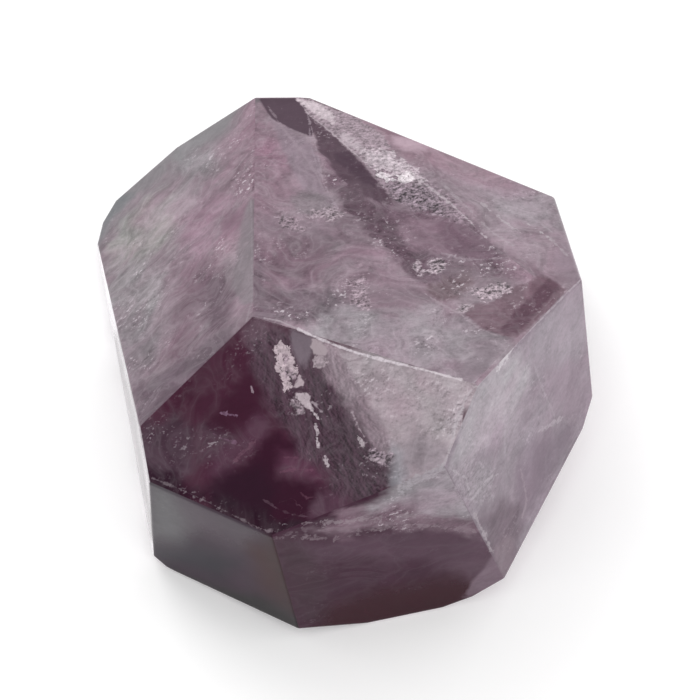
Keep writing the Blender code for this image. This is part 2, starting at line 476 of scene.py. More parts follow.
    "front_dark_low": Zone("crown_front", (60, 37, 49), 0.95, 4.6, 5, milk=0.0, points=[
        (276, 430), (300, 448), (320, 476), (326, 510), (300, 530), (268, 526), (210, 496), (240, 466)]),
    "front_black": Zone("crown_front", (54, 38, 48), 0.8, 8, 8, milk=0.0, points=[
        (196, 490), (222, 472), (262, 462), (276, 490), (270, 522), (230, 508)]),
    "front_glow": Zone("crown_front", (96, 64, 81), 0.9, 7, 10, milk=0.3, points=[
        (280, 452), (312, 456), (330, 474), (326, 484), (300, 480), (280, 474)]),
    "front_corner": Zone("crown_front", (92, 68, 82), 0.8, 6, 8, milk=0.3, points=[
        (312, 504), (336, 486), (352, 506), (330, 522), (308, 518)]),
    "front_edge_dark": Zone("crown_front", (50, 36, 45), 0.8, 5, 10, milk=0.2, sparkle=0.15, points=[
        (142, 462), (156, 472), (200, 486), (240, 506), (272, 520), (312, 522), (300, 536), (270, 542),
        (205, 508), (146, 488)]),
    "front_bark": Zone("crown_front", (80, 63, 73), 0.92, 4.6, 12, milk=0.3, sparkle=0.1, fibre=0.8,
        points=[(250, 344), (262, 330), (300, 328), (314, 342), (326, 368), (344, 390), (360, 410),
        (370, 432), (382, 454), (390, 470), (388, 486), (362, 508), (340, 494), (312, 462),
        (290, 438), (270, 414), (256, 385)]),
    "front_bark_dark": Zone("crown_front", (76, 61, 70), 0.85, 3, 10, milk=0.3, sparkle=0.12, fibre=0.9,
        points=[(308, 372), (320, 374), (336, 396), (352, 416), (364, 436), (384, 462), (386, 484),
        (364, 506), (348, 484), (328, 450), (314, 412)]),
    "front_gap": Zone("crown_front", (122, 110, 119), 0.9, 3, 3, milk=0.0, points=[
        (290, 330), (312, 337), (312, 352), (306, 370), (300, 366), (294, 352)]),
    "front_streaks": Zone("crown_front", (136, 120, 129), 0.75, 4, 12, milk=0.5, fibre=0.6, points=[
        (318, 350), (332, 350), (350, 376), (368, 402), (380, 428), (390, 446), (382, 452), (366, 432),
        (350, 408), (332, 386), (320, 366)]),
    "front_pale": Zone("crown_front", (168, 156, 162), 0.95, 5, 10, milk=0.9, sparkle=0.05, points=[
        (312, 338), (460, 376), (480, 386), (448, 468), (398, 490), (390, 462), (378, 436), (364, 410),
        (346, 388), (326, 362)]),
    "front_blue": Zone("crown_front", (146, 145, 151), 0.85, 6, 8, milk=0.5, points=[
        (390, 446), (408, 450), (410, 480), (392, 500), (388, 476)]),
    # Right wall.
    # Partly the crystal's own pale colour and partly a painted reflection along the wall's upper band.
    "wall_light_and_sheen": Zone("wall_right", (172, 163, 170), 0.85, 8, 12, milk=0.6, points=[
        (470, 388), (504, 346), (522, 352), (530, 380), (524, 402), (505, 428), (474, 460), (452, 462),
        (460, 420)]),
    "wall_mid": Zone("wall_right", (146, 136, 144), 0.8, 8, 10, milk=0.4, points=[
        (470, 462), (504, 446), (524, 434), (520, 480), (504, 510), (482, 512), (460, 490)]),
    # Partly the crystal's own pale colour and partly a painted reflection along the wall's upper band.
    "wall_high_and_sheen": Zone("wall_right", (158, 147, 156), 0.8, 10, 10, milk=0.3, points=[
        (522, 344), (582, 284), (590, 350), (560, 372), (540, 362)]),
    "wall_pink": Zone("wall_right", (152, 135, 147), 0.8, 10, 10, milk=0.3, points=[
        (548, 370), (594, 352), (598, 398), (576, 424), (560, 418), (546, 392)]),
    "wall_mauve": Zone("wall_right", (134, 119, 131), 0.85, 8, 8, milk=0.2, points=[
        (528, 440), (560, 430), (578, 428), (540, 500), (520, 520), (518, 480)]),
    # Painted shade: the right wall darker towards the floor.
    "wall_low_shade": Zone("wall_right", (119, 104, 114), 0.9, 8, 12, milk=0.3, points=[
        (480, 522), (500, 500), (522, 512), (516, 556), (500, 596), (486, 566)]),
    "wall_low_veil": Zone("wall_right", (140, 124, 133), 0.7, 3, 3, milk=0.3, points=[
        (494, 548), (508, 536), (516, 540), (512, 566), (500, 580)]),
    # Lower walls.
    "strip_shade": Zone("wall_left", (118, 100, 110), 0.9, 7, 2, milk=0.5, points=[
        (118, 332), (126, 370), (138, 420), (146, 470), (158, 540), (150, 540), (138, 470), (130, 430),
        (120, 380), (112, 340)]),
    "front_wall_right": Zone("wall_front", (104, 86, 97), 0.8, 8, 6, milk=0.1, points=[
        (452, 548), (500, 530), (500, 580), (468, 584), (452, 570)]),
    "foot_light": Zone("wall_front_left", (114, 113, 115), 0.9, 18, 4, milk=0.05, points=[
        (146, 474), (176, 488), (196, 520), (180, 544), (148, 540)]),
    "foot_light_edge": Zone("wall_front_left", (102, 96, 101), 0.8, 14, 4, milk=0.05, points=[
        (170, 484), (266, 532), (240, 545), (186, 525)]),
    "foot_teal": Zone("wall_front_left", (71, 73, 79), 0.8, 16, 5, milk=0.05, points=[
        (152, 548), (200, 542), (240, 562), (220, 580), (160, 562)]),
    # Partly the crystal's own colour and partly painted contact shade, darker where the wall meets the
    # floor.
    "foot_dark_and_shade": Zone("wall_front_left", (69, 61, 68), 0.85, 7, 5, milk=0.05, points=[
        (150, 562), (200, 580), (262, 598), (300, 616), (306, 644), (230, 612), (150, 576)]),
    "foot_brown": Zone("wall_front_left", (88, 66, 75), 0.8, 14, 5, milk=0.05, points=[
        (250, 545), (282, 540), (296, 610), (262, 588)]),
    "front_wall_left": Zone("wall_front wall_front_left", (82, 68, 75), 0.85, 12, 8, milk=0.1, points=[
        (270, 540), (312, 540), (324, 580), (322, 630), (294, 612), (282, 570)]),
    "front_wall_upper": Zone("wall_front", (97, 79, 90), 0.8, 9, 8, milk=0.1, points=[
        (300, 544), (380, 532), (492, 524), (488, 560), (440, 566), (380, 556), (320, 560)]),
    # Partly the crystal's own colour and partly a painted reflection along the wall's upper band.
    "front_wall_rose_and_sheen": Zone("wall_front", (126, 106, 117), 0.9, 5, 14, milk=0.6, sparkle=0.2, points=[
        (312, 530), (344, 512), (400, 492), (486, 502), (488, 530), (420, 527), (370, 532), (326, 538)]),
    # Partly the crystal's own pale colour and partly a painted reflection along the wall's upper band.
    "front_wall_pale_and_sheen": Zone("wall_front", (152, 143, 150), 0.9, 6, 14, milk=0.9, points=[
        (370, 506), (400, 488), (442, 454), (490, 510), (474, 518), (430, 510), (396, 508)]),
    # Partly the crystal's own colour and partly painted contact shade, darker where the wall meets the
    # floor.
    "front_wall_dark_and_shade": Zone("wall_front", (74, 45, 59), 0.9, 12, 5, milk=0.0, points=[
        (306, 640), (330, 604), (390, 588), (460, 576), (484, 590), (430, 624)]),
    "front_wall_corner": Zone("wall_front", (130, 113, 124), 0.85, 2.5, 3, milk=0.2, points=[
        (462, 598), (470, 584), (496, 552), (512, 584)]),
    # Lighter and darker places over the zones above.
    "crest_end_shade": Zone(CROWN_TOP, (112, 92, 103), 0.75, 6, 8, milk=0.5, points=[
        (248, 296), (268, 296), (288, 302), (290, 311), (266, 308), (250, 312)]),
    # A painted highlight where the right crest catches the light at its lower end.
    "crest_corner_highlight": Zone(CROWN_TOP, (166, 154, 162), 0.7, 5, 8, milk=0.6, points=[
        (488, 348), (504, 338), (512, 342), (508, 356), (496, 368), (484, 370)]),
    "left_top_light": Zone("crown_left", (160, 150, 156), 0.7, 8, 10, milk=0.7, points=[
        (140, 222), (160, 206), (184, 188), (202, 188), (198, 204), (170, 216), (148, 232)]),
    "left_edge_shade": Zone("crown_left", (128, 118, 124), 0.35, 7, 10, milk=0.6, points=[
        (114, 290), (138, 296), (148, 340), (152, 384), (134, 386), (120, 336)]),
    "front_grey_low": Zone("crown_front", (142, 134, 140), 0.75, 7, 8, milk=0.5, points=[
        (398, 444), (422, 438), (448, 446), (446, 468), (420, 474), (400, 466)]),
    "front_bark_light": Zone("crown_front", (124, 108, 117), 0.6, 6, 10, milk=0.5, points=[
        (340, 402), (360, 400), (378, 418), (370, 432), (346, 426)]),
    "front_band_light": Zone("crown_front wall_front", (152, 138, 147), 0.7, 5, 8, milk=0.7, points=[
        (398, 496), (428, 492), (430, 508), (400, 512)]),
}

# Healed cracks that shine like foil, drawn with finer edges over the zones; their pale shine is partly their
# own colour and partly a painted reflection.
FOILS = {
    "ridge_band": Zone(CROWN_TOP, (164, 148, 157), 0.9, 1.5, 3, milk=0.8, sparkle=0.5, points=[
        (294, 92), (318, 98), (346, 112), (380, 132), (392, 148), (376, 154), (366, 163), (352, 152),
        (341, 142), (325, 128), (309, 116), (300, 104)]),
    "ridge_tail": Zone(CROWN_TOP, (146, 130, 140), 0.8, 3, 6, sparkle=0.8, points=[
        (366, 163), (376, 152), (400, 158), (424, 176), (450, 196), (474, 226), (440, 216), (404, 206),
        (388, 194), (376, 178)]),
    "ridge_pale": Zone(CROWN_TOP, (208, 194, 201), 0.9, 1.5, 4, sparkle=0.25, points=[
        (297, 99), (310, 101), (324, 106), (336, 118), (334, 124), (320, 118), (306, 108)]),
    "ridge_blob": Zone(CROWN_TOP, (192, 178, 186), 0.85, 1.5, 4, sparkle=0.25, points=[
        (338, 132), (350, 134), (356, 142), (368, 150), (364, 156), (352, 148), (342, 140)]),
    "ridge_foil_a": Zone(CROWN_TOP, (236, 228, 232), 0.95, 0.8, 9, cracks=1.0, sparkle=0.3, points=[
        (366, 155), (380, 153), (397, 160), (403, 166), (390, 168), (376, 162)]),
    "ridge_foil_grey": Zone(CROWN_TOP, (196, 182, 190), 0.9, 1.2, 9, cracks=0.7, sparkle=0.5, points=[
        (358, 148), (372, 150), (388, 150), (408, 164), (426, 180), (420, 188), (404, 178), (384, 172),
        (368, 166)]),
    "ridge_foil_b": Zone(CROWN_TOP, (228, 218, 224), 0.95, 0.8, 9, cracks=1.0, sparkle=0.3, points=[
        (372, 168), (384, 170), (396, 178), (388, 182), (378, 175)]),
    "ridge_foil_c": Zone(CROWN_TOP, (236, 226, 231), 0.95, 0.8, 6, cracks=1.0, sparkle=0.3, points=[
        (396, 174), (410, 172), (416, 178), (408, 184), (400, 181)]),
    "ridge_grains": Zone(CROWN_TOP, (134, 121, 130), 0.85, 3, 8, milk=0.8, sparkle=1.2, points=[
        (386, 184), (400, 184), (418, 184), (436, 194), (446, 208), (440, 216), (420, 210), (398, 200)]),
    "crinkle_low": Zone("crown_back", (176, 162, 170), 0.75, 1.5, 8, sparkle=0.9, points=[
        (412, 262), (418, 260), (424, 272), (418, 276)]),
    "crinkle_low_right": Zone("crown_back", (172, 158, 166), 0.8, 1.5, 6, sparkle=1.2, points=[
        (428, 260), (446, 258), (446, 268), (434, 280), (428, 272)]),
    "crinkle_right": Zone("crown_back", (172, 157, 165), 0.85, 1.5, 6, sparkle=1.2, points=[
        (471, 290), (484, 288), (494, 282), (508, 284), (512, 292), (498, 296), (484, 302), (476, 298)]),
    "crinkle_right_low": Zone("crown_back", (170, 157, 164), 0.8, 1.5, 5, sparkle=0.9, points=[
        (454, 305), (468, 302), (474, 306), (468, 312), (458, 311)]),
    "crinkle_mid": Zone("crown_back", (158, 142, 151), 0.7, 2, 8, sparkle=1.0, points=[
        (350, 284), (364, 280), (372, 304), (362, 312), (350, 300)]),
    "crinkle_high": Zone("crown_back", (168, 153, 161), 0.75, 1.5, 6, sparkle=0.9, points=[
        (302, 212), (318, 208), (342, 210), (344, 218), (318, 219)]),
    "crinkle_left": Zone("crown_back", (150, 134, 143), 0.7, 2, 8, sparkle=1.0, points=[
        (276, 216), (292, 218), (306, 226), (300, 234), (282, 228)]),
    "front_foil": Zone("crown_front", (188, 171, 178), 0.98, 0.8, 6, sparkle=0.25, cracks=1.0, points=[
        (276, 346), (278, 338), (284, 344), (291, 348), (294, 360), (298, 370), (292, 380), (292, 392),
        (286, 394), (280, 376), (274, 356)]),
    "front_foil_shade": Zone("crown_front", (146, 130, 139), 0.85, 0.9, 6, sparkle=0.8, cracks=1.0, points=[
        (283, 350), (288, 356), (292, 366), (296, 377), (291, 384), (287, 374), (283, 362)]),
    "front_foil_mid": Zone("crown_front", (180, 164, 171), 0.98, 0.8, 2, sparkle=0.1, cracks=0.2, points=[
        (294, 384), (299, 374), (307, 386), (300, 386), (293, 390)]),
    "front_foil_low": Zone("crown_front", (182, 168, 175), 0.98, 0.8, 2, sparkle=0.1, cracks=0.5, points=[
        (294, 393), (309, 393), (312, 404), (310, 413), (303, 404), (294, 397)]),
    "front_foil_grey": Zone("crown_front", (146, 132, 140), 0.9, 1, 5, sparkle=0.8, cracks=0.5, points=[
        (288, 398), (296, 398), (304, 406), (304, 416), (292, 408)]),
    "front_foil_right": Zone("crown_front", (170, 156, 162), 0.95, 1, 2, cracks=0.1, points=[
        (311, 338), (318, 339), (328, 349), (327, 355), (316, 356), (310, 350)]),
    "front_foil_right_low": Zone("crown_front", (164, 150, 157), 0.9, 1, 5, sparkle=0.3, cracks=0.8, points=[
        (313, 356), (326, 355), (330, 364), (322, 370), (314, 366)]),
    "front_hook": Zone("crown_front", (144, 130, 139), 0.85, 1.5, 5, sparkle=1.2, cracks=0.6, points=[
        (370, 448), (384, 450), (392, 456), (390, 468), (378, 464), (368, 458)]),
    "front_wisps": Zone("wall_right crown_front", (182, 173, 179), 0.5, 2, 12, sparkle=0.7, points=[
        (452, 400), (466, 396), (462, 424), (452, 440), (450, 420)]),
    "wall_web": Zone("wall_right wall_front", (168, 159, 166), 0.4, 2, 14, sparkle=0.4, points=[
        (450, 470), (470, 458), (492, 470), (494, 500), (472, 506), (456, 492)]),
}

# Thin bright lines, where a crack or a crest catches the light; along the rounded crests they are
# painted highlights. Each has the facets that it shows on, its colour, how much it covers, its
# width and how ragged it is, and the points it runs through, in pixels of the photograph.
Vein = namedtuple("Vein", "facets colour cover width ragged points")
VEINS = {
    # Painted highlights along the rounded crest between the top and the front facets.
    "crest_left_highlight": Vein("crown_back crown_front", (176, 163, 171), 0.9, 1.6, 0.6,
        [(264, 318), (280, 321), (298, 329)]),
    "crest_highlight": Vein("crown_back crown_front", (214, 204, 211), 0.9, 2.6, 1.4,
        [(298, 329), (318, 338), (345, 349), (375, 358), (408, 366)]),
    "crest_right_highlight": Vein("crown_back crown_front", (208, 198, 204), 0.9, 2.2, 1.4,
        [(408, 366), (436, 373), (462, 380)]),
    # A painted highlight along the rounded edge between the upper left and the top facets.
    "lens_edge_highlight": Vein("crown_left crown_back", (158, 147, 154), 0.5, 1.0, 2.0,
        [(251, 200), (252, 240), (252, 300), (246, 322)]),
    "veil_rim": Vein("crown_back", (172, 157, 167), 0.6, 1.2, 2.2,
        [(307, 112), (312, 130), (318, 156), (323, 182), (331, 198), (341, 213)]),
    "veil_line": Vein("crown_back", (166, 151, 162), 0.6, 1.2, 2,
        [(309, 124), (311, 146), (316, 162), (320, 176)]),
    "veil_line_left": Vein("crown_back", (164, 148, 158), 0.5, 2.0, 2,
        [(268, 106), (284, 130), (300, 150), (314, 170), (324, 190)]),
    "ridge_rim": Vein(CROWN_TOP, (196, 182, 190), 0.7, 1.3, 1.2,
        [(301, 104), (309, 115), (325, 127), (341, 141), (352, 151), (366, 163)]),
    "grains_rim": Vein(CROWN_TOP, (196, 184, 191), 0.7, 1.5, 3,
        [(414, 176), (436, 192), (456, 208), (474, 226), (486, 238)]),
    "outline_line": Vein("crown_right_back", (104, 84, 92), 0.85, 3.0, 4,
        [(298, 94), (318, 100), (336, 108), (352, 114)]),
    "outline_line_low": Vein("crown_right_back", (124, 98, 108), 0.7, 2.0, 2.5,
        [(360, 116), (400, 130), (440, 146), (484, 164)]),
    "rose_line": Vein("crown_right_back", (128, 98, 112), 0.6, 3.0, 3,
        [(378, 128), (396, 134), (420, 140)]),
    "right_streak_a": Vein("crown_right_back", (196, 187, 193), 0.6, 1.4, 3,
        [(497, 216), (506, 223), (520, 232)]),
    "right_streak_b": Vein("crown_right_back", (198, 190, 195), 0.65, 1.4, 3,
        [(528, 224), (540, 231), (548, 237)]),
    "right_streak_c": Vein("crown_right_back", (186, 177, 183), 0.55, 1.3, 3,
        [(550, 239), (558, 246), (567, 255)]),
    "right_streak_d": Vein("crown_right_back", (192, 182, 188), 0.6, 1.8, 3, [(481, 203), (490, 210)]),
    "right_streak_e": Vein("crown_right_back", (178, 167, 174), 0.5, 1.4, 3,
        [(440, 182), (466, 206), (492, 232), (514, 246)]),
    "right_streak_f": Vein("crown_right_back", (176, 166, 173), 0.5, 1.4, 2,
        [(510, 212), (530, 216), (552, 232)]),
    "right_streak_g": Vein("crown_back", (192, 182, 188), 0.7, 1.8, 2, [(528, 259), (543, 264)]),
    "lens_rim": Vein(CROWN_TOP, (170, 156, 165), 0.6, 1.4, 2,
        [(442, 253), (456, 258), (474, 260), (502, 258)]),
    "burgundy_rim": Vein("crown_back", (172, 158, 166), 0.6, 1.4, 2,
        [(425, 294), (441, 304), (462, 315), (478, 328), (497, 336)]),
    # Painted highlights along the rounded crests of the right wall and of the front.
    "right_crest_highlight": Vein("crown_back wall_right", (188, 176, 184), 0.8, 1.8, 1.2,
        [(512, 348), (530, 330), (556, 304), (582, 278)]),
    "right_crest_bright_highlight": Vein("crown_back wall_right", (216, 209, 214), 0.85, 5.0, 4,
        [(498, 370), (504, 358), (512, 347)]),
    "right_crest_low_highlight": Vein("crown_back wall_right", (182, 172, 179), 0.7, 2.0, 2,
        [(470, 384), (484, 378), (498, 368)]),
    "front_crest_right_highlight": Vein("crown_front wall_right", (190, 182, 188), 0.6, 3, 3,
        [(486, 376), (468, 394), (457, 420), (450, 448), (442, 468)]),
    "front_crest_low_highlight": Vein("crown_front wall_front", (174, 168, 174), 0.6, 8, 5,
        [(400, 488), (420, 478), (442, 468)]),
    "front_crest_left_highlight": Vein("crown_front wall_front_left", (140, 128, 135), 0.5, 0.6, 3,
        [(152, 478), (180, 489), (214, 505), (246, 522), (270, 532)]),
    "front_crumbs_low": Vein("crown_front wall_front_left", (130, 116, 124), 0.6, 1.4, 6,
        [(248, 524), (262, 529), (272, 532)]),
    "front_crumbs_mid": Vein("crown_front wall_front", (120, 104, 113), 0.55, 1.8, 6,
        [(278, 538), (296, 533), (312, 526)]),
    "front_curve": Vein("crown_front", (104, 82, 94), 0.5, 0.9, 3,
        [(264, 500), (274, 507), (290, 514), (312, 517)]),
    "glow_line_a": Vein("crown_front", (112, 76, 94), 0.5, 1.6, 3, [(284, 457), (298, 458)]),
    "glow_line_b": Vein("crown_front", (116, 80, 98), 0.55, 2.2, 3, [(280, 472), (296, 469), (312, 470)]),
    "glow_line_c": Vein("crown_front", (112, 78, 94), 0.45, 1.2, 3, [(300, 492), (306, 498), (316, 497)]),
    "band_line": Vein("crown_front", (120, 88, 103), 0.5, 3.5, 6, [(234, 460), (246, 450), (256, 440)]),
    "lilac_spot": Vein("crown_front", (132, 104, 126), 0.8, 2.4, 4, [(221, 413), (236, 415)]),
    "lilac_spot_low": Vein("crown_front", (126, 98, 118), 0.7, 1.8, 3, [(214, 434), (226, 440), (236, 442)]),
    "front_speck": Vein("crown_front", (168, 148, 160), 0.8, 1.6, 1.5, [(251, 386), (253, 392)]),
    "fleck_a": Vein("crown_front", (200, 187, 194), 0.9, 2.2, 5, [(308, 403), (314, 413), (318, 418)]),
    "fleck_b": Vein("crown_front", (200, 187, 194), 0.9, 2.4, 5, [(316, 424), (317, 436), (318, 448)]),
    "fleck_c": Vein("crown_front", (194, 181, 188), 0.85, 2.8, 4, [(325, 456), (328, 466)]),
    "fleck_d": Vein("crown_front", (190, 178, 184), 0.85, 3.2, 4, [(359, 438), (363, 447)]),
    "fleck_e": Vein("crown_front", (170, 156, 164), 0.8, 1.6, 3, [(312, 402), (322, 412)]),
    "fleck_f": Vein("crown_front", (172, 158, 166), 0.7, 2.0, 4, [(352, 412), (358, 426), (364, 436)]),
    "fleck_g": Vein("crown_front", (164, 150, 158), 0.7, 2.0, 4, [(364, 456), (376, 462), (388, 458)]),
    "gap_shadow": Vein("crown_front", (78, 62, 72), 0.9, 3.2, 1.5, [(291, 391), (300, 389), (307, 391)]),
    "plate_shadow": Vein("crown_front wall_front", (128, 112, 120), 0.5, 2.0, 2,
        [(336, 356), (350, 362), (362, 358)]),
    "wall_line": Vein("wall_right", (178, 168, 175), 0.4, 1.6, 1.5, [(534, 364), (544, 392), (555, 417)]),
    "wall_line_low": Vein("wall_right", (184, 174, 181), 0.55, 3.0, 4, [(537, 432), (550, 425), (562, 418)]),
    "wall_line_left": Vein("wall_right", (178, 170, 177), 0.4, 1.6, 1.5,
        [(503, 376), (505, 420), (505, 457)]),
    "wall_line_pink": Vein("wall_right", (170, 154, 163), 0.5, 1.6, 2, [(521, 470), (527, 500), (522, 518)]),
    "wall_dots": Vein("wall_front wall_right", (176, 166, 172), 0.7, 2.4, 4,
        [(474, 514), (482, 530), (492, 551)]),
    "web_a": Vein("wall_right wall_front", (188, 180, 186), 0.55, 1.4, 2.5,
        [(452, 470), (466, 478), (470, 494)]),
    "web_b": Vein("wall_right wall_front", (186, 178, 184), 0.55, 1.4, 2.5,
        [(472, 500), (486, 480), (498, 474)]),
    "front_fibre_a": Vein("wall_front", (142, 127, 135), 0.55, 1.2, 8,
        [(279, 537), (310, 538), (340, 538), (380, 528)]),
    "front_fibre_b": Vein("wall_front", (148, 133, 141), 0.55, 1.2, 8,
        [(380, 528), (418, 525), (454, 529), (484, 534)]),
    "front_fibre_c": Vein("wall_front", (160, 147, 154), 0.5, 1.2, 8,
        [(296, 523), (334, 522), (370, 519), (395, 515), (432, 516)]),
}

# The first eight facets are those that the photograph shows. Their zones reach over their rims and
# fade there: a depth falls by up to this many pixels as the surface turns to face away.
SEEN_FACETS = list(FACETS)[:8]
TURNED_AWAY = 80.0
# A depth that is outside every zone, and how far around itself a zone or a line is known, in
# pixels. Two that are known at the same vertex are kept in separate layers.
FAR_OUTSIDE = -60.0
ZONE_REACH = 7.0
VEIN_REACH = 8.0
# A zone softer than this, in pixels, is painted straight onto the vertices.
CRISP = 4.5


def seen_at(points):
    """Where points of the stone, in metres, show in the photograph, in pixels."""
    elevation = radians(CAMERA_ELEVATION)
    offset = points / MM - np.array(CAMERA_TARGET)
    up = offset[:, 1] * sin(elevation) + offset[:, 2] * cos(elevation)
    nearer = offset[:, 2] * sin(elevation) - offset[:, 1] * cos(elevation)
    pixels_per_mm = IMAGE_SIZE * CAMERA_LENS / SENSOR_WIDTH / (CAMERA_DISTANCE - nearer)
    column = TARGET_PIXEL[0] + offset[:, 0] * pixels_per_mm
    row = TARGET_PIXEL[1] - up * pixels_per_mm
    return np.stack([column, row], -1)


def along_line(places, points):
    """How far each place lies across a line, signed by its side, and past its start and its end."""
    corners = np.array(points, float)
    nearest = np.full(len(places), np.inf)
    across = np.zeros(len(places))
    past_start = np.zeros(len(places))
    lengths = np.hypot(*(corners[1:] - corners[:-1]).T)
    for number, length in enumerate(lengths):
        direction = (corners[number + 1] - corners[number]) / length
        offset = places - corners[number]
        reach = offset @ direction
        side = offset @ (direction[1], -direction[0])
        low = -np.inf if number == 0 else 0
        high = np.inf if number == len(lengths) - 1 else length
        held = reach.clip(low, high)
        gap = np.hypot(reach - held, side)
        closer = gap < nearest
        nearest[closer] = gap[closer]
        across[closer] = (np.where(side < 0, -gap, gap))[closer]
        past_start[closer] = (-held - lengths[:number].sum())[closer]
    return across, past_start, -past_start - lengths.sum()


def depth_inside(places, outline):
    """How far each place lies inside a closed outline; outside, the distance is negative."""
    inside = np.zeros(len(places), bool)
    nearest = np.full(len(places), np.inf)
    for start, end in zip(outline, outline[1:] + outline[:1]):
        (x0, y0), (x1, y1) = start, end
        along = np.subtract(end, start)
        reach = ((places - start) @ along / (along @ along)).clip(0, 1)
        gap = places - start - reach[:, None] * along
        nearest = np.minimum(nearest, np.hypot(gap[:, 0], gap[:, 1]))
        if y0 != y1:
            spans = (y0 > places[:, 1]) != (y1 > places[:, 1])
            crossing = x0 + (places[:, 1] - y0) * (x1 - x0) / (y1 - y0)
            inside ^= spans & (places[:, 0] < crossing)
    return np.where(inside, nearest, -nearest)


def grain_places(points, facet):
    """Places on the stone in mm, along and across the grain of the facet that each lies on."""
    elevation = radians(CAMERA_ELEVATION)
    right = Vector((1, 0, 0))
    up = Vector((0, sin(elevation), cos(elevation)))
    to_camera = right.cross(up)
    frames = []
    for name, look in LOOKS.items():
        normal = outward_normal(*FACETS[name][:2])
        seen = right * cos(radians(look.grain)) + up * sin(radians(look.grain))
        slope = normal.dot(seen) / max(normal.dot(to_camera), LEAST_FACING)
        along = seen - to_camera * slope
        along = (along - normal * normal.dot(along)).normalized()
        frames.append([along, normal.cross(along), normal])
    places = np.einsum("nij,nj->ni", np.array(frames)[facet], points / MM)
    places[:, 2] += facet * FACET_SPACING
    return places


def swirled(places, milk):
    """Places moved along slow curls, most where it is milky, so that it comes out marbled."""
    noise.seed_set(CURL_SEED)
    curls = np.zeros_like(places)
    for size in CURL_SIZES:
        curls += size * np.array([noise.noise_vector(place / size) for place in places])
    return places + curls * milk[:, None] * CURL


def in_layers(depths, reach):
    """The shapes' names in layers. No vertex knows two shapes of one layer, and a shape is above the
    earlier ones that it covers. A depth is how far inside a shape each vertex lies."""
    layer_of = {}
    for name, depth in depths.items():
        covered = [layer_of[other] for other in layer_of if ((depths[other] > 0) & (depth > 0)).any()]
        layer = max(covered, default=-1) + 1
        known = depth > -reach
        taken = {layer_of[other] for other in layer_of if ((depths[other] > -reach) & known).any()}
        while layer in taken:
            layer += 1
        layer_of[name] = layer
    count = max(layer_of.values()) + 1
    return [[name for name in depths if layer_of[name] == layer] for layer in range(count)]


